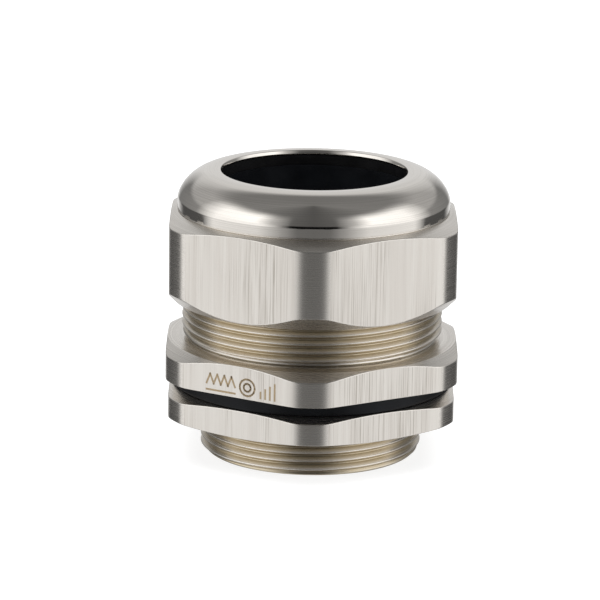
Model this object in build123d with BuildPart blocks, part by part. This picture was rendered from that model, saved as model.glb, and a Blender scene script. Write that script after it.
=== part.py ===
"""Metal cable gland for an M40 x 1.5 entry, in millimetres.

The gland stands on the end of its entry thread, with its axis along +Z and the origin at the
middle of that end face.  From the bottom up it is a locknut, a flat sealing washer, a body with
a hexagon between two threads, and a dome nut.  Inside the dome nut a claw of sixteen hinged
fingers holds a rubber seal, and the body's tapered mouth closes the fingers on the cable.
"""
import os
from math import asin, degrees, radians, sin, tan

from build123d import *

os.makedirs("parts", exist_ok=True)

# ---- driving dimensions -------------------------------------------------------------------
pitch = 1.5                       # both threads are fine metric threads of the same pitch
flank_angle = 30                  # half of the 60 degree thread angle
thread_depth = 0.92
thread_root_flat = 0.25           # width of the flat at the bottom of an outside thread
thread_play = 0.10                # axial play on each flank between an outside and an inside thread
crest_clearance = 0.27            # radial gap between an inside thread's crest and the root it runs over
root_clearance = 0.2              # radial gap beyond an outside thread's crest

total_height = 51.1
entry_radius = 19.9               # outside radius of the M40 entry thread
clamp_radius = 23.4               # outside radius of the larger thread that the dome nut runs on
bore_radius = 16.8                # way through the body for the cable
corner_break = 1.0                # chamfer at the ends of the threads
edge_break = 0.4                  # small chamfer on the plain edges
cutter_overlap = 0.1              # how far a cutter runs past the surface that it opens

locknut_bottom, locknut_top = 7.4, 12.6
washer_top = 15.0                 # the washer fills the space from the locknut to the body
body_hex_top = 20.8
body_rim = 37.8                   # upper end of the body, inside the dome nut

nut_flats, nut_corner_radius = 51.0, 28.0             # locknut and dome nut
body_flats, body_corner_radius = 52.0, 28.4

dome_nut_bottom = 28.2
dome_corner_bottom = 30.9         # where the lower chamfer meets the turned corners
dome_corner_top = 42.7            # where the upper cone meets the turned corners
groove_bottom, groove_top = 44.0, 44.25               # fine groove under the plain ring
ring_radius, ring_top = 24.4, 46.2
dome_flat_radius = 17.8           # outer edge of the flat on top of the dome
mouth_radius = 16.5               # opening in the dome nut
lip_height = 0.65                 # height of the wall round that opening

washer_radius, washer_bore = 25.4, 20.15
washer_rounding = 0.5

seal_bottom, seal_top = 36.2, 48.3
seal_bore, seal_radius = 16.4, 18.3
seal_play = 0.15                  # gap between the seal and the claw round it
seal_break = 0.5                  # chamfer at the seal's lower end, inside

finger_count = 16
finger_tip = 34.5                 # height of the free ends of the fingers
hinge_radius, hinge_height = 20.2, 43.9
hinge_thickness = 0.8
finger_gap = 1.9
finger_outer_radius = 20.6
ring_underside = 44.4             # lower face of the claw's ring, just above the film hinges
slide_play = 0.20                 # gap between the claw's ring and the dome over it


# ---- shared geometry ----------------------------------------------------------------------
def groove_half_width(above_root):
    """Half the axial width of an outside thread's groove at a height above its root."""
    return thread_root_flat / 2 + above_root * tan(radians(flank_angle))


def thread_groove(start_height, turns, inner, outer, inner_half_width, outer_half_width):
    """The swept solid that cuts one right-hand thread, starting on the +X side."""
    with BuildPart() as groove:
        with BuildLine() as helix:
            Helix(pitch=pitch, height=turns * pitch, radius=inner, center=(0, 0, start_height))
        with BuildSketch(Plane.XZ):
            with BuildLine():
                Polyline(
                    (inner, start_height - inner_half_width),
                    (outer, start_height - outer_half_width),
                    (outer, start_height + outer_half_width),
                    (inner, start_height + inner_half_width),
                    close=True,
                )
            make_face()
        sweep(path=helix.line, is_frenet=True)
    return groove.part


def outside_groove(major, start_height, turns, start_angle):
    """Cutter for an outside thread: a V that is narrow at the root and open at the crest."""
    root = major - thread_depth
    outer = major + cutter_overlap
    groove = thread_groove(
        start_height, turns, root, outer, groove_half_width(0), groove_half_width(outer - root)
    )
    # turned to its start angle and raised to match, so that it stays on the same helix
    return groove.moved(Location((0, 0, pitch * start_angle / 360), (0, 0, start_angle)))


def inside_groove(major, start_height, turns):
    """Cutter for the matching inside thread, wider than the outside thread by the play."""
    root = major - thread_depth
    inner, outer = root + cutter_overlap, major + root_clearance
    return thread_groove(
        start_height,
        turns,
        inner,
        outer,
        pitch / 2 - groove_half_width(inner - root) + thread_play,
        pitch / 2 - groove_half_width(outer - root) + thread_play,
    )


def inside_minor(major):
    """Bore radius of an inside thread, before its groove is cut."""
    return major - thread_depth + crest_clearance


# Height of each groove where it crosses the +X side.  An inside thread's groove lies where
# the outside thread has its crest, half a pitch away.
clamp_groove_start = 13 * pitch + 0.675
entry_groove_start = -pitch + 0.975
dome_groove_start = clamp_groove_start + pitch / 2 + 4 * pitch
locknut_groove_start = entry_groove_start + pitch / 2 + 4 * pitch

# ---- gland body ---------------------------------------------------------------------------
entry_groove = outside_groove(entry_radius, entry_groove_start, 10.5, 0)
clamp_groove = outside_groove(clamp_radius, clamp_groove_start, 13, 90)
undercut_depth = thread_depth + 0.1
entry_undercut = entry_radius - undercut_depth
clamp_undercut = clamp_radius - undercut_depth
entry_undercut_width = 1.0
clamp_undercut_width = 0.6
entry_undercut_slope, clamp_undercut_slope = 0.4, 0.5     # axial length of the cone beside each
neck_top = washer_top + 0.5               # the core steps out here, hidden in the hexagon
corner_cone = 1.3                         # height of the cone that trims the hexagon's corners
corner_cone_run = corner_cone / tan(radians(28))
seat_bottom, seat_radius = 26.4, 17.6     # plain recess under the tapered mouth
taper_bottom, taper_top = 29.0, 34.5
rim_bore = 20.95
bore_break = 0.6
seat_height = seat_radius - bore_radius   # the step up to the seat is a 45 degree cone
trim_width = 4                            # ring outside the hexagon that is cut away

with BuildPart() as gland_body:
    with BuildSketch(Plane.XZ):
        with BuildLine():
            Polyline(
                (0, 0),
                (entry_radius - corner_break, 0),
                (entry_radius, corner_break),
                (entry_radius, washer_top - entry_undercut_width - entry_undercut_slope),
                (entry_undercut, washer_top - entry_undercut_width),
                (entry_undercut, neck_top),
                (clamp_undercut, neck_top),
                (clamp_undercut, body_hex_top + clamp_undercut_width),
                (clamp_radius, body_hex_top + clamp_undercut_width + clamp_undercut_slope),
                (clamp_radius, body_rim - corner_break),
                (clamp_radius - corner_break, body_rim),
                (0, body_rim),
                close=True,
            )
        make_face()
    revolve(axis=Axis.Z)
    add(entry_groove, mode=Mode.SUBTRACT)
    add(clamp_groove, mode=Mode.SUBTRACT)
    # the hexagon goes on after the threads are cut, so that their run-out stays clear of it
    with BuildSketch(Plane.XY.offset(washer_top)):
        RegularPolygon(body_flats / 2, 6, major_radius=False, rotation=30)
    extrude(amount=body_hex_top - washer_top)
    with BuildSketch(Plane.XZ):
        with BuildLine():
            Polyline(
                (body_corner_radius, washer_top),
                (body_corner_radius, body_hex_top - corner_cone),
                (body_corner_radius - corner_cone_run, body_hex_top),
                (body_corner_radius + trim_width, body_hex_top),
                (body_corner_radius + trim_width, washer_top),
                close=True,
            )
        make_face()
    revolve(axis=Axis.Z, mode=Mode.SUBTRACT)
    with BuildSketch(Plane.XZ):
        with BuildLine():
            Polyline(
                (0, 0),
                (bore_radius + bore_break, 0),
                (bore_radius, bore_break),
                (bore_radius, seat_bottom - seat_height),
                (seat_radius, seat_bottom),
                (seat_radius, taper_bottom),
                (rim_bore, taper_top),
                (rim_bore, body_rim - edge_break),
                (rim_bore + edge_break, body_rim),
                (0, body_rim),
                close=True,
            )
        make_face()
    revolve(axis=Axis.Z, mode=Mode.SUBTRACT)
gland_body.part.label = "gland_body"
export_step(gland_body.part, "parts/gland_body.step")

# ---- sealing washer -----------------------------------------------------------------------
with BuildPart() as sealing_washer:
    with BuildSketch(Plane.XY.offset(locknut_top)):
        Circle(washer_radius)
        Circle(washer_bore, mode=Mode.SUBTRACT)
    extrude(amount=washer_top - locknut_top)
    outer_edges = sealing_washer.edges().filter_by(GeomType.CIRCLE).group_by(SortBy.RADIUS)[-1]
    fillet(outer_edges, radius=washer_rounding)
sealing_washer.part.label = "sealing_washer"
export_step(sealing_washer.part, "parts/sealing_washer.step")

# ---- locknut ------------------------------------------------------------------------------
locknut_groove = inside_groove(entry_radius, locknut_groove_start, 6)
locknut_bore = inside_minor(entry_radius)
locknut_cone_radius = 25.2
corner_drop = (nut_corner_radius - locknut_cone_radius) * tan(radians(14))

with BuildPart() as locknut:
    with BuildSketch(Plane.XY.offset(locknut_bottom)):
        RegularPolygon(nut_flats / 2, 6, major_radius=False, rotation=30)
        Circle(locknut_bore, mode=Mode.SUBTRACT)
    extrude(amount=locknut_top - locknut_bottom)
    with BuildSketch(Plane.XZ):
        with BuildLine():
            Polyline(
                (0, locknut_bottom),
                (locknut_cone_radius, locknut_bottom),
                (nut_corner_radius, locknut_bottom + corner_drop),
                (nut_corner_radius, locknut_top - corner_drop),
                (locknut_cone_radius, locknut_top),
                (0, locknut_top),
                close=True,
            )
        make_face()
    revolve(axis=Axis.Z, mode=Mode.INTERSECT)
    add(locknut_groove, mode=Mode.SUBTRACT)
    # lead-in chamfers at both ends of the thread, cut after its groove
    with BuildSketch(Plane.XZ):
        for face, inward in ((locknut_bottom, 1), (locknut_top, -1)):
            with BuildLine():
                Polyline(
                    (locknut_bore - 1, face),
                    (locknut_bore + corner_break, face),
                    (locknut_bore, face + inward * corner_break),
                    (locknut_bore - 1, face + inward * corner_break),
                    close=True,
                )
            make_face()
    revolve(axis=Axis.Z, mode=Mode.SUBTRACT)
locknut.part.label = "locknut"
export_step(locknut.part, "parts/locknut.step")

# ---- dome nut -----------------------------------------------------------------------------
dome_groove = inside_groove(clamp_radius, dome_groove_start, 10)
dome_thread_bore = inside_minor(clamp_radius)
dome_thread_top = 40.0
relief_radius = clamp_radius + 0.25
relief_run = 0.9                          # height of the cone from the thread to its relief
relief_top = 43.2
cavity_step = 1.0                         # height of the cone from the relief to the cavity
core_gap = 0.5                            # the cutter stays this far inside the thread's crests
dome_bore = 22.6                          # plain bore above the thread relief
cavity_center = (19.0, ring_top)          # centre of the round part of the dome's inside
cavity_radius = dome_bore - cavity_center[0]
groove_depth = 0.2
# the dome is one arc, level at the flat on top, that meets the ring at a faint edge
dome_run, dome_rise = ring_radius - dome_flat_radius, total_height - ring_top
dome_arc_radius = (dome_run**2 + dome_rise**2) / (2 * dome_rise)
dome_arc_size = degrees(asin(dome_run / dome_arc_radius))
lip_underside = total_height - lip_height

with BuildPart() as dome_nut:
    with BuildSketch(Plane.XY.offset(dome_nut_bottom)):
        RegularPolygon(nut_flats / 2, 6, major_radius=False, rotation=30)
    extrude(amount=total_height - dome_nut_bottom)
    with BuildSketch(Plane.XZ):
        with BuildLine():
            Polyline(
                (0, dome_nut_bottom),
                (nut_corner_radius - dome_corner_bottom + dome_nut_bottom, dome_nut_bottom),
                (nut_corner_radius, dome_corner_bottom),
                (nut_corner_radius, dome_corner_top),
                (ring_radius, groove_bottom),
                (ring_radius - groove_depth, groove_bottom),
                (ring_radius - groove_depth, groove_top),
                (ring_radius, groove_top),
                (ring_radius, ring_top),
            )
            CenterArc(
                (dome_flat_radius, total_height - dome_arc_radius),
                dome_arc_radius,
                90 - dome_arc_size,
                dome_arc_size,
            )
            Polyline(
                (dome_flat_radius, total_height),
                (0, total_height),
                (0, dome_nut_bottom),
            )
        make_face()
    revolve(axis=Axis.Z, mode=Mode.INTERSECT)
    with BuildSketch(Plane.XY.offset(dome_nut_bottom)):
        Circle(dome_thread_bore)
    extrude(amount=relief_top - dome_nut_bottom, mode=Mode.SUBTRACT)
    add(dome_groove, mode=Mode.SUBTRACT)
    # lead-in chamfer, thread relief, round cavity and mouth, cut after the thread's groove
    with BuildSketch(Plane.XZ):
        with BuildLine():
            Polyline(
                (0, dome_nut_bottom),
                (dome_thread_bore + corner_break, dome_nut_bottom),
                (dome_thread_bore - core_gap, dome_nut_bottom + corner_break + core_gap),
                (dome_thread_bore - core_gap, dome_thread_top - core_gap),
                (relief_radius, dome_thread_top + relief_run),
                (relief_radius, relief_top),
                (dome_bore, relief_top + cavity_step),
                (dome_bore, ring_top),
            )
            CenterArc(cavity_center, cavity_radius, 0, 90)
            Polyline(
                (cavity_center[0], cavity_center[1] + cavity_radius),
                (mouth_radius, lip_underside),
                (mouth_radius, total_height),
                (0, total_height),
                (0, dome_nut_bottom),
            )
        make_face()
    revolve(axis=Axis.Z, mode=Mode.SUBTRACT)
dome_nut.part.label = "dome_nut"
export_step(dome_nut.part, "parts/dome_nut.step")

# ---- claw ring ----------------------------------------------------------------------------
# The ring sits up in the dome, holds the upper end of the seal and carries the fingers.
ring_outer_radius = dome_bore - slide_play
flange_bore = 16.7                        # inward flange that covers the end of the seal
seal_pocket = seal_radius + seal_play
seal_end_play = 0.05
flange_underside = seal_top + seal_end_play
shoulder = cavity_center[0]

with BuildPart() as claw_ring:
    with BuildSketch(Plane.XZ):
        with BuildLine():
            Polyline(
                (shoulder, ring_top + cavity_radius - slide_play),
                (flange_bore, lip_underside - slide_play),
                (flange_bore, flange_underside),
                (seal_pocket, flange_underside),
                (seal_pocket, ring_underside),
                (ring_outer_radius, ring_underside),
                (ring_outer_radius, ring_top),
            )
            CenterArc(cavity_center, cavity_radius - slide_play, 0, 90)
        make_face()
    revolve(axis=Axis.Z)
claw_ring.part.label = "claw_ring"
export_step(claw_ring.part, "parts/claw_ring.step")

# ---- claw fingers -------------------------------------------------------------------------
# Each finger hangs from a round root on its own tangential hinge line.  The inner face falls
# away below the hinge, so that it stays clear of the ring as the finger swings inward.
root_radius = hinge_thickness / 2
finger_inner_radius = seal_pocket
sector_angle = 360 / finger_count
half_gap = finger_gap / 2
tip_bevel_run, tip_bevel_rise = 0.4, 0.6
outer_shoulder, inner_shoulder = 1.2, 1.6     # how far below the hinge each face reaches full depth

for number in range(finger_count):
    spoke = Plane.XZ.rotated((0, 0, number * sector_angle))
    with BuildPart() as claw_finger:
        with BuildSketch(spoke):
            with BuildLine():
                Polyline(
                    (hinge_radius + root_radius, hinge_height),
                    (finger_outer_radius, hinge_height - outer_shoulder),
                    (finger_outer_radius, finger_tip + tip_bevel_rise),
                    (finger_outer_radius - tip_bevel_run, finger_tip),
                    (finger_inner_radius, finger_tip),
                    (finger_inner_radius, hinge_height - inner_shoulder),
                    (hinge_radius - root_radius, hinge_height),
                )
                ThreePointArc(
                    (hinge_radius - root_radius, hinge_height),
                    (hinge_radius, hinge_height + root_radius),
                    (hinge_radius + root_radius, hinge_height),
                )
            make_face()
        width = 2 * (finger_outer_radius * sin(radians(sector_angle / 2)) - half_gap)
        extrude(amount=width / 2, both=True)
    name = f"claw_finger_{number + 1:02d}"
    claw_finger.part.label = name
    export_step(claw_finger.part, f"parts/{name}.step")

# ---- seal insert --------------------------------------------------------------------------
with BuildPart() as seal_insert:
    with BuildSketch(Plane.XZ):
        with BuildLine():
            Polyline(
                (seal_bore, seal_bottom + seal_break),
                (seal_bore + seal_break, seal_bottom),
                (seal_radius, seal_bottom),
                (seal_radius, seal_top),
                (seal_bore, seal_top),
                close=True,
            )
        make_face()
    revolve(axis=Axis.Z)
seal_insert.part.label = "seal_insert"
export_step(seal_insert.part, "parts/seal_insert.step")
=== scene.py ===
"""Looks of the cable gland: turned nickel-plated metal, black rubber and black nylon.

Lengths are written in millimetres and turned into metres by MM where a mesh is made.
"""

from math import asin, atan2, cos, degrees, pi, radians, sin, tan

import bmesh
import bpy
import numpy as np
from mathutils import Matrix, Vector


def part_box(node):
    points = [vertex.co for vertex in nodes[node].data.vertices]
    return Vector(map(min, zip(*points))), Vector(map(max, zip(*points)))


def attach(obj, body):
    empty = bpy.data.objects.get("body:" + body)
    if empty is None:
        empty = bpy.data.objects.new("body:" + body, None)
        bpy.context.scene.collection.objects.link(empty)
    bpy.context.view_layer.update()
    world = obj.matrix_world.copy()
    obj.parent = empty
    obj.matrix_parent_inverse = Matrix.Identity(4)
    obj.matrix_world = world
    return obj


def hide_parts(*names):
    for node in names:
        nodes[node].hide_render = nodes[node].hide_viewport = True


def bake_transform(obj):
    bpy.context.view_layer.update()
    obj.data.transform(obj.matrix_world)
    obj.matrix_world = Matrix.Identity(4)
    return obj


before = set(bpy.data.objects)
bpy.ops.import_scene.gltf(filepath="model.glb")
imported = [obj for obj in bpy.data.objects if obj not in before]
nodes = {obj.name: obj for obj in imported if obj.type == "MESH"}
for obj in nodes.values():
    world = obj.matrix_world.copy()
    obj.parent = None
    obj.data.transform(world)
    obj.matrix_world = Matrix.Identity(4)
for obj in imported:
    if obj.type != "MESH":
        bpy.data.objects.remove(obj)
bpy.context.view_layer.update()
MM = 0.001

# ---- sizes that several pieces share, as in the CAD model ---------------------------------
PITCH = 1.5
THREAD_DEPTH = 0.92
CREST_CLEARANCE, ROOT_CLEARANCE = 0.27, 0.2   # gaps between an inside and an outside thread
ENTRY_RADIUS, CLAMP_RADIUS = 19.9, 23.4       # the two outside threads
ENTRY_CREST, CLAMP_CREST = 0.225, 20.925      # height of a crest where it crosses the +X side
END_CHAMFER = 1.0
NUT_FLATS, NUT_CORNER = 51.0, 28.0
WASHER_BOTTOM, WASHER_TOP = 12.6, 15.0
TOP, RING_TOP, RING_RADIUS = 51.1, 46.2, 24.4


# ---- materials ----------------------------------------------------------------------------
class Nodes:
    """A node tree with a few short helpers for building it."""

    def __init__(self, tree):
        self.tree = tree

    def node(self, kind, **settings):
        made = self.tree.nodes.new(kind)
        for key, value in settings.items():
            setattr(made, key, value)
        return made

    def link(self, source, target):
        self.tree.links.new(source, target)

    def math(self, operation, first, second=None):
        made = self.node("ShaderNodeMath", operation=operation)
        for socket, value in zip(made.inputs, (first, second)):
            if value is None:
                continue
            if isinstance(value, (int, float)):
                socket.default_value = value
            else:
                self.link(value, socket)
        return made.outputs[0]

    def parts(self, vector):
        """The X, Y and Z of a vector."""
        made = self.node("ShaderNodeSeparateXYZ")
        self.link(vector, made.inputs[0])
        return made.outputs

    def flat_length(self, parts):
        """Length of a vector seen along Z."""
        x2 = self.math("MULTIPLY", parts[0], parts[0])
        y2 = self.math("MULTIPLY", parts[1], parts[1])
        return self.math("SQRT", self.math("ADD", x2, y2))

    def ramp(self, value, *stops):
        """A colour for each place from 0 to 1, from stops of (place, colour)."""
        made = self.node("ShaderNodeValToRGB")
        elements = made.color_ramp.elements
        while len(elements) < len(stops):
            elements.new(0.5)
        for element, (place, colour) in zip(elements, stops):
            element.position = place
            element.color = (*colour, 1.0)
        self.link(value, made.inputs["Fac"])
        return made.outputs["Color"]

    def range(self, value, source, target, **settings):
        """Maps the source interval to the target interval and holds the value inside it."""
        made = self.node("ShaderNodeMapRange", **settings)
        for index, number in enumerate((*source, *target), start=1):
            made.inputs[index].default_value = number
        self.link(value, made.inputs[0])
        return made.outputs[0]

    def blend(self, amount, first, second):
        made = self.node("ShaderNodeMix", data_type="RGBA")
        colours = [socket for socket in made.inputs if socket.type == "RGBA"]
        self.link(amount, made.inputs[0])
        self.link(first, colours[0])
        self.link(second, colours[1])
        return [socket for socket in made.outputs if socket.type == "RGBA"][0]


class Shader(Nodes):
    """A material, with patterns that are fixed to the object."""

    def __init__(self, name, **values):
        self.material = bpy.data.materials.new(name)
        self.material.use_nodes = True
        super().__init__(self.material.node_tree)
        self.surface = self.tree.nodes["Principled BSDF"]
        for socket, value in values.items():
            self.surface.inputs[socket.replace("_", " ")].default_value = value

    def position(self):
        return self.node("ShaderNodeTexCoord").outputs["Object"]

    def noise(self, vector, scale, detail=2.0, roughness=0.5):
        made = self.node("ShaderNodeTexNoise")
        made.inputs["Scale"].default_value = scale
        made.inputs["Detail"].default_value = detail
        made.inputs["Roughness"].default_value = roughness
        self.link(vector, made.inputs["Vector"])
        return made.outputs["Fac"]

    def stretched(self, scale):
        """Object position with its own scale along each axis."""
        made = self.node("ShaderNodeMapping")
        made.inputs["Scale"].default_value = scale
        self.link(self.position(), made.inputs["Vector"])
        return made.outputs["Vector"]

    def rings(self, scale, drift):
        """A vector that changes with radius and height, and only slowly with X, as a lathe's marks do."""
        parts = self.parts(self.position())
        joined = self.node("ShaderNodeCombineXYZ")
        self.link(self.math("MULTIPLY", self.flat_length(parts), scale), joined.inputs[0])
        self.link(self.math("MULTIPLY", parts[2], scale), joined.inputs[1])
        self.link(self.math("MULTIPLY", parts[0], drift), joined.inputs[2])
        return joined.outputs[0]

    def bump(self, height, strength, distance):
        made = self.node("ShaderNodeBump")
        made.inputs["Strength"].default_value = strength
        made.inputs["Distance"].default_value = distance
        self.link(height, made.inputs["Height"])
        self.link(made.outputs["Normal"], self.surface.inputs["Normal"])

    def set(self, socket, source):
        self.link(source, self.surface.inputs[socket])


# colours are linear red, green and blue
NICKEL_LIGHT, NICKEL_BAND, NICKEL_MARK = (0.80, 0.765, 0.715), (0.74, 0.70, 0.65), (0.70, 0.665, 0.62)
LINE_DARK, LINE_PALE = (0.38, 0.345, 0.30), (0.62, 0.58, 0.53)
# thread colours by depth: the valleys are darkened as painted shade over their own brass tint, and the
# crests are lightened as a painted highlight
VALLEY_BRASS_AND_SHADE, FLANK_HALF_SHADE, CREST_HIGHLIGHT = (0.52, 0.44, 0.31), (0.72, 0.65, 0.53), (0.86, 0.81, 0.74)
PLATE_BRIGHT, PLATE_WORN = (0.78, 0.73, 0.66), (0.66, 0.59, 0.48)
BURNT_DARK, BURNT_PALE = (0.30, 0.22, 0.13), (0.47, 0.37, 0.24)
BUMP_STRENGTH = 0.3
MIDDLE = (0.3, 0.7)                           # where nearly all values of a noise lie


def drawn_nickel(name, line_width):
    """Flats of the hexagons: nickel over drawn bar, with fine lines that run up and down."""
    s = Shader(name, Metallic=1.0)
    across, broad_across = 1 / (line_width * MM), 1 / (line_width * MM) / 9
    fine = s.noise(s.stretched((across, across, 45)), 1.0, 3.0, 0.7)
    broad = s.noise(s.stretched((broad_across, broad_across, 20)), 1.0, 2.0, 0.5)
    # the lines are dense in some places and nearly absent in others
    patches = s.range(s.noise(s.stretched((150, 60, 30)), 1.0, 2.0), (0.44, 0.62), (0.12, 1.0))
    lines = s.math("MULTIPLY", s.range(fine, (0.53, 0.38), (0.0, 1.0)), patches)
    tone = s.ramp(broad, (0.3, NICKEL_BAND), (0.6, NICKEL_LIGHT))
    s.set("Base Color", s.blend(lines, tone, s.ramp(fine, (0.25, LINE_DARK), (0.5, LINE_PALE))))
    s.set("Roughness", s.range(fine, MIDDLE, (0.42, 0.26)))
    s.bump(fine, BUMP_STRENGTH, 0.015 * MM)
    return s.material


def turned_nickel(name, roughness, mark_width, depth):
    """Turned faces: fine marks that run round the axis."""
    s = Shader(name, Metallic=1.0)
    marks = s.noise(s.rings(1 / (mark_width * MM), 30), 1.0, 3.0, 0.6)
    s.set("Base Color", s.ramp(marks, (0.3, NICKEL_MARK), (0.6, NICKEL_LIGHT)))
    s.set("Roughness", s.range(marks, MIDDLE, (roughness * 1.35, roughness * 0.8)))
    s.bump(marks, BUMP_STRENGTH, depth * MM)
    return s.material


def threaded_nickel(name, crest_radius):
    """Threads: a colour ramp by depth. The valleys get painted shade over a brass tint where the plating is
    thin, and the crests get a painted highlight.
    """
    s = Shader(name, Metallic=1.0)
    radius = s.flat_length(s.parts(s.position()))
    depth = s.range(radius, ((crest_radius - THREAD_DEPTH) * MM, crest_radius * MM), (0.0, 1.0))
    # painted shade deepens toward the valleys and a painted highlight lightens the crests
    colour = s.ramp(depth, (0.0, VALLEY_BRASS_AND_SHADE), (0.45, FLANK_HALF_SHADE), (0.9, CREST_HIGHLIGHT))
    patches = s.noise(s.position(), 260, 3.0, 0.6)
    worn = s.ramp(patches, (0.0, PLATE_BRIGHT), (1.0, PLATE_WORN))
    s.set("Base Color", s.blend(s.range(patches, (0.35, 0.75), (0.0, 0.35)), colour, worn))
    marks = s.noise(s.rings(9000, 60), 1.0, 2.0)
    s.set("Roughness", s.range(marks, MIDDLE, (0.34, 0.2)))
    s.bump(marks, 0.25, 0.015 * MM)
    return s.material


def moulded(name, colour, roughness, grain, depth):
    """Black rubber and nylon: a soft moulded grain and slightly uneven sheen."""
    s = Shader(name, Specular_IOR_Level=0.16)
    cloud = s.noise(s.position(), grain / 12, 3.0)
    fine = s.noise(s.position(), grain, 3.0, 0.6)
    lighter = tuple(2.0 * part + 0.001 for part in colour)
    s.set("Base Color", s.ramp(cloud, (0.35, colour), (0.75, lighter)))
    s.set("Roughness", s.range(cloud, MIDDLE, (roughness * 0.88, roughness * 1.12)))
    s.bump(fine, BUMP_STRENGTH, depth * MM)
    return s.material


def etched(name):
    """A laser mark: the plating is burnt back to a dull tan."""
    s = Shader(name, Metallic=0.35)
    speckle = s.noise(s.position(), 5200, 3.0, 0.7)
    s.set("Base Color", s.ramp(speckle, (0.3, BURNT_DARK), (0.7, BURNT_PALE)))
    s.set("Roughness", s.range(speckle, MIDDLE, (0.55, 0.75)))
    return s.material


FLAT = drawn_nickel("nickel_drawn", line_width=0.16)
TURNED = turned_nickel("nickel_turned", roughness=0.24, mark_width=0.14, depth=0.012)
POLISHED = turned_nickel("nickel_polished", roughness=0.10, mark_width=0.10, depth=0.002)
BORE = turned_nickel("nickel_bored", roughness=0.36, mark_width=0.22, depth=0.02)
CLAMP_THREAD = threaded_nickel("nickel_clamp_thread", CLAMP_RADIUS)
ENTRY_THREAD = threaded_nickel("nickel_entry_thread", ENTRY_RADIUS)
RUBBER = moulded("black_rubber", (0.0035, 0.0040, 0.0052), roughness=0.42, grain=2600, depth=0.01)
NYLON = moulded("black_nylon", (0.0030, 0.0030, 0.0034), roughness=0.5, grain=3800, depth=0.01)
ETCH = etched("etched_mark")


# ---- turned meshes ------------------------------------------------------------------------
SECTOR = 60                                   # degrees from one corner of a hexagon to the next
BODY_CORNER_HALF, NUT_CORNER_HALF = 6.3, 5.6  # degrees from the middle of a turned corner to its edge
CORNER_SOFTNESS = 0.27                        # how gently a flat runs into a turned corner
EDGE_STEPS = (-3.6, -2.7, -1.9, -1.2, -0.6, 0, 0.6, 1.2, 1.9, 2.7, 3.8, 5.2)
FLAT_STEPS = (13, 15.5, 18.5, 22, 26)         # degrees from the corner, out on the flat
ROUND_STEPS = 3
ROUND_ROWS = ROUND_STEPS + 1                  # points in one rounded corner of an outline
MOST_OF_SIDE = 0.45                           # how far along a side its rounding may reach
SPARE_TURNS = 2                               # turns past a thread's ends, pressed flat onto them
JOIN_DISTANCE, SLIVER = 0.0015, 0.0005
NORMAL_WEIGHT = 60


def column_angles(corner_half):
    """Angles round the axis, closer together where a flat meets a turned corner."""
    half = [0, 1.0] + [corner_half + step for step in EDGE_STEPS] + list(FLAT_STEPS)
    sector = sorted([-a for a in half[1:]] + half) + [SECTOR / 2]
    return [radians(-90 + SECTOR * k + a) for k in range(6) for a in sector]


def flat_distance(angle, flats):
    """Distance from the axis to the side of a plain hexagon with corners on the Y axis."""
    from_flat = (degrees(angle) + 90) % SECTOR - SECTOR / 2
    return flats / 2 / cos(radians(from_flat))


def hexagon_radius(angle, flats, corner):
    """Distance from the axis to a hexagon with turned corners."""
    flat = flat_distance(angle, flats)
    blunt = CORNER_SOFTNESS * np.log1p(np.exp(-abs(flat - corner) / CORNER_SOFTNESS))
    return min(flat, corner) - blunt


def side_material(angle, flats, corner):
    return FLAT if flat_distance(angle, flats) < corner else TURNED


def rounded(corners, steps=ROUND_STEPS):
    """An outline from (distance from the axis, height, rounding), with an arc for each rounding."""
    out = []
    places = [np.array(corner[:2], float) for corner in corners]
    for i, corner in enumerate(places):
        rounding = corners[i][2]
        if rounding == 0:
            out.append(tuple(corner))
            continue
        a, b = places[i - 1] - corner, places[(i + 1) % len(places)] - corner
        la, lb = np.linalg.norm(a), np.linalg.norm(b)
        reach = min(rounding, la * MOST_OF_SIDE, lb * MOST_OF_SIDE)
        start, end = corner + a / la * reach, corner + b / lb * reach
        for step in range(steps + 1):
            t = step / steps
            out.append(tuple((1 - t) ** 2 * start + 2 * t * (1 - t) * corner + t * t * end))
    return out


def thread_rows(low, high, crest_start, angle, shape, envelope, rising=True):
    """Points up (or down) a thread at one angle.  Rows follow the helix, so crests stay sharp."""
    lift = PITCH * (angle + pi / 2) / (2 * pi)
    shift = crest_start - PITCH / 4
    first = int((low - shift) // PITCH) - SPARE_TURNS
    last = int((high - shift) // PITCH) + SPARE_TURNS
    rows = []
    for turn in range(first, last + 1):
        for offset, radius in shape:
            z = shift + turn * PITCH + offset + lift
            clamped = min(max(z, low), high)
            rows.append((envelope(clamped, radius), clamped))
    return rows if rising else rows[::-1]


def outside_shape(major):
    """(height from the crest, radius) over one pitch of an outside thread, lightly rounded."""
    root = major - THREAD_DEPTH
    return [
        (-0.75, root), (-0.66, root + 0.01), (-0.60, root + 0.06), (-0.36, root + 0.46),
        (-0.13, major - 0.07), (-0.07, major - 0.008), (0.0, major), (0.07, major - 0.008),
        (0.13, major - 0.07), (0.36, root + 0.46), (0.60, root + 0.06), (0.66, root + 0.01),
    ]


def inside_shape(major):
    """(height from the groove's middle, radius) over one pitch of an inside thread."""
    deep, minor = major + ROOT_CLEARANCE, major - THREAD_DEPTH + CREST_CLEARANCE
    halfway = (deep + minor) / 2
    return [
        (-0.75, minor), (-0.60, minor + 0.01), (-0.54, minor + 0.07), (-0.30, halfway),
        (-0.10, deep - 0.06), (0.0, deep), (0.10, deep - 0.06), (0.30, halfway),
        (0.54, minor + 0.07), (0.60, minor + 0.01),
    ]


def arc(centre, radius, start, end, count):
    """Points on an arc, angles in degrees, both ends included."""
    return [
        (centre[0] + radius * cos(radians(a)), centre[1] + radius * sin(radians(a)))
        for a in np.linspace(start, end, count)
    ]


def assemble(*pieces):
    """Joins stretches of (points, material) into one outline with a material for every point."""
    points, materials = [], []
    for stretch, material in pieces:
        points += stretch
        materials += [material] * len(stretch)
    return points, materials


def place_object(name, data):
    """A new object in the scene."""
    made = bpy.data.objects.new(name, data)
    bpy.context.scene.collection.objects.link(made)
    return made


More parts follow.
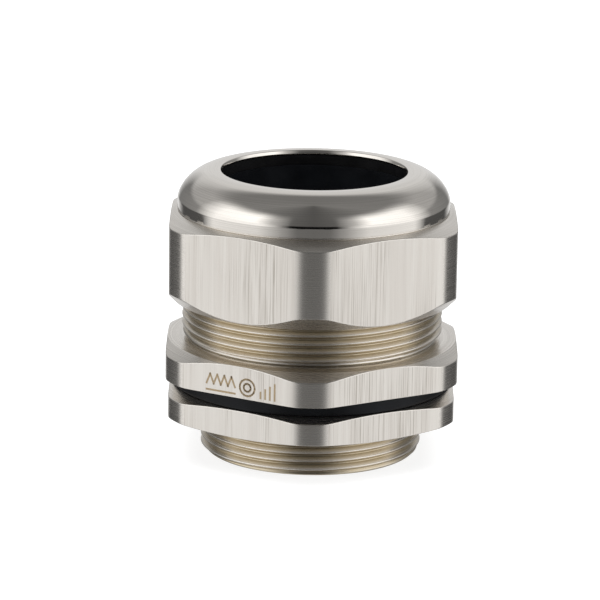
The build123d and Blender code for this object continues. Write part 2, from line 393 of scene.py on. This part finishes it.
def face_outward(mesh, join=False):
    """Turns every face of a closed mesh outward, and first joins points that meet if join is set."""
    edit = bmesh.new()
    edit.from_mesh(mesh)
    if join:
        bmesh.ops.remove_doubles(edit, verts=edit.verts, dist=JOIN_DISTANCE * MM)
        bmesh.ops.dissolve_degenerate(edit, edges=edit.edges, dist=SLIVER * MM)
    bmesh.ops.recalc_face_normals(edit, faces=edit.faces)
    edit.to_mesh(mesh)
    edit.free()


def build_turned(name, angles, profile, materials, body, replaced):
    """A closed ring of quads.  profile(angle) gives the section's points and a material for each."""
    mesh = bpy.data.meshes.new(name)
    grid, looks = [], []
    for angle in angles + [angles[0] + 2 * pi]:
        points, look = profile(angle)
        grid.append([(r * cos(angle), r * sin(angle), z) for r, z in points])
        looks.append(look)
    columns, rows = len(grid), len(grid[0])
    vertices = [tuple(c * MM for c in point) for column in grid for point in column]
    faces, slots = [], []
    for i in range(columns - 1):
        for j in range(rows):
            k = (j + 1) % rows
            faces.append((i * rows + j, (i + 1) * rows + j, (i + 1) * rows + k, i * rows + k))
            slots.append(materials.index(looks[i][j]))
    mesh.from_pydata(vertices, [], faces)
    mesh.polygons.foreach_set("material_index", slots)
    face_outward(mesh, join=True)
    mesh.shade_smooth()
    for material in materials:
        mesh.materials.append(material)
    made = place_object(name, mesh)
    weighted = made.modifiers.new("weighted", "WEIGHTED_NORMAL")
    weighted.mode = "FACE_AREA"
    weighted.weight = NORMAL_WEIGHT
    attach(made, body)
    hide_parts(replaced)
    return made


# ---- gland body ---------------------------------------------------------------------------
BODY_FLATS, BODY_CORNER = 52.0, 28.4
HEX_TOP, RIM = 20.8, 37.8
ENTRY_TOP, CLAMP_FOOT = 14.0, 21.4            # where each thread runs out, beside the hexagon
ENTRY_NECK = ENTRY_RADIUS - THREAD_DEPTH - 0.1
CLAMP_NECK = CLAMP_RADIUS - THREAD_DEPTH - 0.1
ENTRY_RUNOUT, CLAMP_RUNOUT = 3, 2             # slopes of the run-outs
BODY_CONE, BODY_SLOPE = 1.3, tan(radians(28))
MOUTH_BORE, MOUTH_BREAK = 20.95, 0.4
TAPER_TOP, TAPER_BOTTOM = 34.5, 29.0
SEAT_RADIUS, SEAT_BOTTOM = 17.6, 26.4
BORE_RADIUS, BORE_TOP, BORE_BREAK = 16.8, 25.6, 0.6


def entry_envelope(z, radius):
    """Radius of the entry thread, held inside its end chamfer and its undercut."""
    runout = ENTRY_NECK + max(0, ENTRY_TOP - z) * ENTRY_RUNOUT
    return min(radius, ENTRY_RADIUS - END_CHAMFER + z, runout)


def clamp_envelope(z, radius):
    """Radius of the larger thread, held inside its undercut and its end chamfer."""
    runout = CLAMP_NECK + max(0, z - CLAMP_FOOT) * CLAMP_RUNOUT
    return min(radius, runout, CLAMP_RADIUS - END_CHAMFER + RIM - z)


def body_section(angle):
    corner = hexagon_radius(angle, BODY_FLATS, BODY_CORNER)
    crossing = HEX_TOP - BODY_CONE + (BODY_CORNER - corner) * BODY_SLOPE
    entry = thread_rows(0, ENTRY_TOP, ENTRY_CREST, angle, outside_shape(ENTRY_RADIUS), entry_envelope)
    clamp = thread_rows(CLAMP_FOOT, RIM, CLAMP_CREST, angle, outside_shape(CLAMP_RADIUS), clamp_envelope)
    hexagon = rounded([
        (ENTRY_NECK, WASHER_TOP, 0),
        (corner, WASHER_TOP, 0.14),
        (corner, crossing, 0.12),
        (BODY_CORNER - BODY_CONE / BODY_SLOPE, HEX_TOP, 0.08),
        (CLAMP_NECK, HEX_TOP, 0),
    ])
    inside = rounded([
        (CLAMP_RADIUS - END_CHAMFER, RIM, 0),
        (MOUTH_BORE + MOUTH_BREAK, RIM, 0.1),
        (MOUTH_BORE, RIM - MOUTH_BREAK, 0.1),
        (MOUTH_BORE, TAPER_TOP, 0.2),
        (SEAT_RADIUS, TAPER_BOTTOM, 0.2),
        (SEAT_RADIUS, SEAT_BOTTOM, 0.2),
        (BORE_RADIUS, BORE_TOP, 0.2),
        (BORE_RADIUS, BORE_BREAK, 0.12),
        (BORE_RADIUS + BORE_BREAK, 0, 0.12),
        (ENTRY_RADIUS - END_CHAMFER, 0, 0),
    ])
    points, looks = assemble((entry, ENTRY_THREAD), (hexagon, TURNED), (clamp, CLAMP_THREAD), (inside, BORE))
    looks[len(entry) + ROUND_ROWS] = side_material(angle, BODY_FLATS, BODY_CORNER)
    return points, looks


BODY_SLOTS = [TURNED, FLAT, ENTRY_THREAD, CLAMP_THREAD, BORE]
BODY_ANGLES = column_angles(BODY_CORNER_HALF)
build_turned("gland_body_turned", BODY_ANGLES, body_section, BODY_SLOTS, "gland_body", "gland_body")

# ---- dome nut -----------------------------------------------------------------------------
DOME_BOTTOM, DOME_FACE = 28.2, 25.3           # lower face and its outer edge
DOME_CORNER_TOP, DOME_CONE = 42.7, 1.3        # where the upper cone meets the corners, its height
GROOVE_BOTTOM, GROOVE_TOP, GROOVE_RADIUS = 44.0, 44.25, 24.2
DOME_FLAT = 17.8
DOME_RUN, DOME_RISE = RING_RADIUS - DOME_FLAT, TOP - RING_TOP
DOME_ARC = (DOME_RUN**2 + DOME_RISE**2) / (2 * DOME_RISE)
DOME_START = 90 - degrees(asin(DOME_RUN / DOME_ARC))
DOME_CENTRE = (DOME_FLAT, TOP - DOME_ARC)
FOOT_ANGLE, NEXT_ANGLE = DOME_START + 8, DOME_START + 10
DOME_FOOT = arc(DOME_CENTRE, DOME_ARC, FOOT_ANGLE, FOOT_ANGLE, 1)[0]
DOME_POINTS = 22
LIP_START = DOME_FLAT - 0.3                   # first point in from the dome's edge, on its flat top
MOUTH_TOP, MOUTH_RADIUS, LIP_HEIGHT = 16.72, 16.5, 0.65
CAVITY_CENTRE, CAVITY_RADIUS = (19.0, 46.4), 3.6
CAVITY_START, CAVITY_POINTS = 88, 8
DOME_BORE, CAVITY_STEP = 22.6, 1.0
RELIEF_RADIUS, RELIEF_TOP, RELIEF_BOTTOM, RELIEF_RUN = 23.65, 43.2, 40.9, 0.9
DOME_LEAD_IN, DOME_THREAD_BORE, DOME_THREAD_TOP = 23.75, 22.75, 40.0
NUT_ANGLES = column_angles(NUT_CORNER_HALF)
RING_ROW = 1 + 4 * ROUND_ROWS + 2             # first point of the plain ring in the outline


def dome_thread_envelope(z, radius):
    """Radius of the nut's thread, opened out by its lead-in chamfer and its relief."""
    relief = DOME_THREAD_BORE + min(RELIEF_RUN, max(0, z - DOME_THREAD_TOP))
    return max(radius, DOME_LEAD_IN + DOME_BOTTOM - z, relief)


def dome_section(angle):
    corner = hexagon_radius(angle, NUT_FLATS, NUT_CORNER)
    crossing = DOME_CORNER_TOP + (NUT_CORNER - corner) * DOME_CONE / (NUT_CORNER - RING_RADIUS)
    outside = rounded([
        (DOME_LEAD_IN, DOME_BOTTOM, 0),
        (DOME_FACE, DOME_BOTTOM, 0.1),
        (corner, DOME_BOTTOM + corner - DOME_FACE, 0.12),
        (corner, crossing, 0.12),
        (RING_RADIUS, GROOVE_BOTTOM, 0.06),
        (GROOVE_RADIUS, GROOVE_BOTTOM, 0),
        (GROOVE_RADIUS, GROOVE_TOP, 0),
        (RING_RADIUS, GROOVE_TOP, 0.06),
        (RING_RADIUS, RING_TOP, 0.36),
        (*DOME_FOOT, 0),
    ])
    dome = arc(DOME_CENTRE, DOME_ARC, NEXT_ANGLE, 90, DOME_POINTS)
    lip = rounded([
        (LIP_START, TOP, 0),
        (MOUTH_TOP, TOP, 0.12),
        (MOUTH_RADIUS, TOP - LIP_HEIGHT, 0.1),
        (CAVITY_CENTRE[0], CAVITY_CENTRE[1] + CAVITY_RADIUS, 0),
    ])
    cavity = arc(CAVITY_CENTRE, CAVITY_RADIUS, CAVITY_START, 0, CAVITY_POINTS)
    relief = [
        (DOME_BORE, RELIEF_TOP + CAVITY_STEP),
        (RELIEF_RADIUS, RELIEF_TOP),
        (RELIEF_RADIUS, RELIEF_BOTTOM),
    ]
    thread = thread_rows(
        DOME_BOTTOM, RELIEF_BOTTOM, CLAMP_CREST, angle, inside_shape(CLAMP_RADIUS), dome_thread_envelope,
        rising=False)
    points, looks = assemble(
        (outside[:RING_ROW], TURNED),
        (outside[RING_ROW:] + dome + lip, POLISHED),
        (cavity + relief + thread, BORE),
    )
    looks[2 * ROUND_ROWS] = side_material(angle, NUT_FLATS, NUT_CORNER)
    return points, looks


DOME_SLOTS = [TURNED, FLAT, POLISHED, BORE]
build_turned("dome_nut_turned", NUT_ANGLES, dome_section, DOME_SLOTS, "dome_nut", "dome_nut")

# ---- locknut ------------------------------------------------------------------------------
LOCKNUT_BOTTOM, LOCKNUT_TOP = 7.4, 12.6
LOCKNUT_FACE, LOCKNUT_SLOPE = 25.2, tan(radians(14))
LOCKNUT_LEAD_IN = 20.25


def locknut_envelope(z, radius):
    """Radius of the locknut's thread, opened out by a lead-in chamfer at each end."""
    return max(radius, LOCKNUT_LEAD_IN + LOCKNUT_BOTTOM - z, LOCKNUT_LEAD_IN + z - LOCKNUT_TOP)


def locknut_section(angle):
    corner = hexagon_radius(angle, NUT_FLATS, NUT_CORNER)
    drop = (corner - LOCKNUT_FACE) * LOCKNUT_SLOPE
    outside = rounded([
        (LOCKNUT_LEAD_IN, LOCKNUT_BOTTOM, 0),
        (LOCKNUT_FACE, LOCKNUT_BOTTOM, 0.08),
        (corner, LOCKNUT_BOTTOM + drop, 0.14),
        (corner, LOCKNUT_TOP - drop, 0.14),
        (LOCKNUT_FACE, LOCKNUT_TOP, 0.08),
        (LOCKNUT_LEAD_IN, LOCKNUT_TOP, 0),
    ])
    thread = thread_rows(
        LOCKNUT_BOTTOM, LOCKNUT_TOP, ENTRY_CREST, angle, inside_shape(ENTRY_RADIUS), locknut_envelope,
        rising=False)
    points, looks = assemble((outside, TURNED), (thread, BORE))
    looks[2 * ROUND_ROWS] = side_material(angle, NUT_FLATS, NUT_CORNER)
    return points, looks


LOCKNUT_SLOTS = [TURNED, FLAT, BORE]
build_turned("locknut_turned", NUT_ANGLES, locknut_section, LOCKNUT_SLOTS, "locknut", "locknut")

# ---- sealing washer -----------------------------------------------------------------------
WASHER_BORE, WASHER_RADIUS = 20.15, 25.4
WASHER_COLUMNS = 180


def washer_section(angle):
    return assemble((rounded([
        (WASHER_BORE, WASHER_BOTTOM, 0.15),
        (WASHER_RADIUS, WASHER_BOTTOM, 0.6),
        (WASHER_RADIUS, WASHER_TOP, 0.6),
        (WASHER_BORE, WASHER_TOP, 0.15),
    ], steps=5), RUBBER))


round_angles = [2 * pi * i / WASHER_COLUMNS for i in range(WASHER_COLUMNS)]
washer = build_turned(
    "sealing_washer_moulded", round_angles, washer_section, [RUBBER], "sealing_washer", "sealing_washer")

# ---- seal ---------------------------------------------------------------------------------
# One strip of the sleeve behind each finger, over that finger's share of the circle, with rows set closer
# between BEND_START and BEND_END.
SEAL_BORE, SEAL_RADIUS, SEAL_BOTTOM, SEAL_TOP, SEAL_BREAK = 16.4, 18.3, 36.2, 48.3, 0.5
BEND_START, BEND_END = 44.2, 41.4
SEAL_ROWS = (
    SEAL_TOP, 46.8, 45.4, BEND_START, 43.5, 42.8, 42.1, BEND_END, 40.2, 38.6,
    SEAL_BOTTOM + SEAL_BREAK, SEAL_BOTTOM,
)
SEAL_COLUMNS = 8
SEAL_SHARP = 35                               # edges sharper than this, in degrees, stay crisp
FINGERS = sorted(name for name in nodes if name.startswith("claw_finger_"))


def seal_strip(finger):
    low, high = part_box(finger)
    middle = atan2(low[1] + high[1], low[0] + high[0])
    half = pi / len(FINGERS)
    points, faces = [], []
    for angle in np.linspace(middle - half, middle + half, SEAL_COLUMNS):
        for wall in (SEAL_BORE, SEAL_RADIUS):
            for height in SEAL_ROWS:
                broken = wall == SEAL_BORE and height == SEAL_BOTTOM
                radius = wall + SEAL_BREAK if broken else wall
                points.append((radius * cos(angle) * MM, radius * sin(angle) * MM, height * MM))
    rows, last = len(SEAL_ROWS), SEAL_COLUMNS - 1

    def quad(*corners):
        """A face through (column, wall, row) corners, where wall 0 is the bore."""
        faces.append(tuple((2 * column + wall) * rows + row for column, wall, row in corners))

    for row in range(rows - 1):
        for column in range(last):
            quad((column, 0, row), (column + 1, 0, row), (column + 1, 0, row + 1), (column, 0, row + 1))
            quad((column, 1, row), (column, 1, row + 1), (column + 1, 1, row + 1), (column + 1, 1, row))
        quad((0, 0, row), (0, 0, row + 1), (0, 1, row + 1), (0, 1, row))
        quad((last, 0, row), (last, 1, row), (last, 1, row + 1), (last, 0, row + 1))
    for column in range(last):
        for row in (0, rows - 1):
            quad((column, 0, row), (column, 1, row), (column + 1, 1, row), (column + 1, 0, row))
    mesh = bpy.data.meshes.new(f"seal_{finger[-2:]}")
    mesh.from_pydata(points, [], faces)
    face_outward(mesh)
    mesh.shade_smooth()
    mesh.set_sharp_from_angle(angle=radians(SEAL_SHARP))
    mesh.materials.append(RUBBER)
    strip = place_object(mesh.name, mesh)
    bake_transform(strip)
    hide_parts("seal_insert")


for finger in FINGERS:
    seal_strip(finger)

# ---- etched mark --------------------------------------------------------------------------
# A plain drawing of a thread, a round opening and a scale, burnt into one flat of the body.
MARK_HEIGHT, MARK_STROKE, MARK_PROUD, MARK_SINK = 17.2, 0.34, 0.02, 0.03
MARK_SIDE = radians(240)                      # direction that the marked flat faces
MARK_LEFT, MARK_FOOT = -6.2, -1.45
TEETH, TOOTH, TOOTH_TOP, TOOTH_FOOT = 4, 1.45, 1.45, -0.3
RING_MIDDLE, RING_SIZES, RING_SIDES = 2.1, (1.5, 0.7), 24
BARS, BARS_LEFT, BAR_SPACING, BAR_HEIGHT, BAR_GROWTH = 4, 4.8, 0.95, 1.0, 0.6
SLAB_FACES = ((0, 1, 2, 3), (7, 6, 5, 4), (0, 4, 5, 1), (1, 5, 6, 2), (2, 6, 7, 3), (3, 7, 4, 0))
mark_out = Vector((cos(MARK_SIDE), sin(MARK_SIDE), 0))
mark_right = Vector((-sin(MARK_SIDE), cos(MARK_SIDE), 0))
mark_points, mark_faces = [], []


def mark_line(first, second):
    """One straight stroke, from first to second, as a thin slab in the flat."""
    a, b = Vector(first), Vector(second)
    along = (b - a).normalized() * MARK_STROKE / 2
    side = Vector((-along.y, along.x))
    start = len(mark_points)
    for depth in (BODY_FLATS / 2 - MARK_SINK, BODY_FLATS / 2 + MARK_PROUD):
        for x, y in (a - along + side, a - along - side, b + along - side, b + along + side):
            mark_points.append((mark_out * depth + mark_right * x + Vector((0, 0, MARK_HEIGHT + y))) * MM)
    for face in SLAB_FACES:
        mark_faces.append(tuple(start + corner for corner in face))


def mark_path(points):
    for first, second in zip(points, points[1:]):
        mark_line(first, second)


mark_path([(MARK_LEFT + TOOTH / 2 * i, TOOTH_TOP if i % 2 else TOOTH_FOOT) for i in range(2 * TEETH + 1)])
mark_line((MARK_LEFT, MARK_FOOT), (MARK_LEFT + TEETH * TOOTH, MARK_FOOT))
ring_angles = [2 * pi * i / RING_SIDES for i in range(RING_SIDES + 1)]
for ring in RING_SIZES:
    mark_path([(RING_MIDDLE + ring * cos(angle), ring * sin(angle)) for angle in ring_angles])
for bar in range(BARS):
    bar_x = BARS_LEFT + BAR_SPACING * bar
    mark_line((bar_x, MARK_FOOT), (bar_x, MARK_FOOT + BAR_HEIGHT + BAR_GROWTH * bar))
mark_mesh = bpy.data.meshes.new("etched_mark")
mark_mesh.from_pydata(mark_points, [], mark_faces)
face_outward(mark_mesh)
mark_mesh.materials.append(ETCH)
mark = place_object("etched_mark", mark_mesh)
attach(mark, "gland_body")

# ---- camera -------------------------------------------------------------------------------
ELEVATION, DISTANCE, ROLL, LENS = 14.52, 627.7, 0.866, 209.5
AIM_HEIGHT, AIM_RIGHT, AIM_DOWN = 30, -2.215, 2.862
camera_data = bpy.data.cameras.new("camera")
camera_data.lens = LENS
camera_data.clip_start, camera_data.clip_end = 0.01, 50
camera = place_object("camera", camera_data)
back = Vector((0, -cos(radians(ELEVATION)), sin(radians(ELEVATION))))
up = Vector((0, sin(radians(ELEVATION)), cos(radians(ELEVATION))))
aim = Vector((0, 0, AIM_HEIGHT)) + Vector((AIM_RIGHT, 0, 0)) - up * AIM_DOWN
turn = back.to_track_quat("Z", "Y").to_matrix().to_4x4() @ Matrix.Rotation(radians(ROLL), 4, "Z")
camera.matrix_world = Matrix.Translation((aim + back * DISTANCE) * MM) @ turn
bpy.context.scene.camera = camera

# ---- floor and light, in metres -----------------------------------------------------------
FLOOR_REACH = 6
FLOOR_GREY, FLOOR_GLOW = (0.30, 0.30, 0.30, 1), 0.80
LIGHT_PLACE, LIGHT_AIM, LIGHT_SIZE, LIGHT_POWER = (0, 0.1, 1.6), (0, 0, 0.03), 2.4, 62
WHITE = (1, 1, 1, 1)
floor_mesh = bpy.data.meshes.new("floor")
floor_corners = [(-1, -1), (1, -1), (1, 1), (-1, 1)]
floor_mesh.from_pydata([(x * FLOOR_REACH, y * FLOOR_REACH, 0) for x, y in floor_corners], [], [(0, 1, 2, 3)])
floor = place_object("floor", floor_mesh)
floor_look = Shader(
    "floor_white", Base_Color=FLOOR_GREY, Roughness=0.9, Emission_Color=WHITE, Emission_Strength=FLOOR_GLOW)
# seen from below, the floor is clear, so that the underside shows
backfacing = floor_look.node("ShaderNodeNewGeometry").outputs["Backfacing"]
floor_look.set("Alpha", floor_look.math("SUBTRACT", 1.0, backfacing))
floor_mesh.materials.append(floor_look.material)
floor.visible_glossy = False

light_data = bpy.data.lights.new("top_light", "AREA")
light_data.shape = "RECTANGLE"
light_data.size, light_data.size_y = LIGHT_SIZE, LIGHT_SIZE
light_data.energy = LIGHT_POWER
light = place_object("top_light", light_data)
light.location = LIGHT_PLACE
light.rotation_mode = "QUATERNION"
light.rotation_quaternion = (Vector(LIGHT_PLACE) - Vector(LIGHT_AIM)).to_track_quat("Z", "Y")
light.visible_glossy = False

# ---- surroundings, seen only as reflections -----------------------------------------------
# each band is (place round the axis, grey), from 0 on the front side, -Y, to 1 at the back
BELOW = (
    (0.0, 0.16), (0.08, 0.17), (0.15, 0.38), (0.27, 0.87),
    (0.52, 0.98), (0.60, 0.09), (0.80, 0.08), (0.90, 0.80),
)
LEVEL = (
    (0.0, 0.003), (0.11, 0.005), (0.16, 0.4), (0.25, 1.2),
    (0.5, 1.25), (0.64, 0.28), (0.86, 0.20), (0.95, 0.75),
)
ABOVE = (
    (0.0, 0.10), (0.11, 0.13), (0.21, 0.6), (0.29, 1.45),
    (0.5, 1.3), (0.64, 0.45), (0.8, 0.42), (0.93, 0.72),
)
OVERHEAD = ((0.0, 0.10), (0.4, 0.24), (1.0, 0.20))
# heights, as the sine of the elevation, over which each band gives way to the next
BANDS = ((LEVEL, (-0.15, -0.09)), (ABOVE, (0.22, 0.33)), (OVERHEAD, (0.58, 0.82)))
NEARLY_ONE, TINY = 0.9999, 0.0001             # keep the arc cosine and the division in bounds

world = bpy.data.worlds.new("studio")
bpy.context.scene.world = world
world.use_nodes = True
sky = Nodes(world.node_tree)
sky.tree.nodes.clear()


def band_colour(stops):
    return sky.ramp(round_place, *[(place, (grey, grey, grey)) for place, grey in stops])


direction = sky.parts(sky.node("ShaderNodeTexCoord").outputs["Generated"])
facing = sky.math("DIVIDE", direction[1], sky.math("ADD", sky.flat_length(direction), TINY))
round_place = sky.math("DIVIDE", sky.math("ARCCOSINE", sky.math("MULTIPLY", facing, -NEARLY_ONE)), pi)
mixed = band_colour(BELOW)
for stops, heights in BANDS:
    rise = sky.range(direction[2], heights, (0.0, 1.0), interpolation_type="SMOOTHSTEP")
    mixed = sky.blend(rise, mixed, band_colour(stops))
studio = sky.node("ShaderNodeBackground")
sky.link(mixed, studio.inputs["Color"])
plain = sky.node("ShaderNodeBackground")
plain.inputs["Color"].default_value = WHITE
choice = sky.node("ShaderNodeMixShader")
sky.link(sky.node("ShaderNodeLightPath").outputs["Is Camera Ray"], choice.inputs[0])
sky.link(studio.outputs[0], choice.inputs[1])
sky.link(plain.outputs[0], choice.inputs[2])
sky.link(choice.outputs[0], sky.node("ShaderNodeOutputWorld").inputs["Surface"])
bpy.context.scene.view_settings.view_transform = "Standard"

# ---- CAD nodes that stay ------------------------------------------------------------------
for name, node in nodes.items():
    if name.startswith("claw_"):
        node.data.materials.clear()
        node.data.materials.append(NYLON)
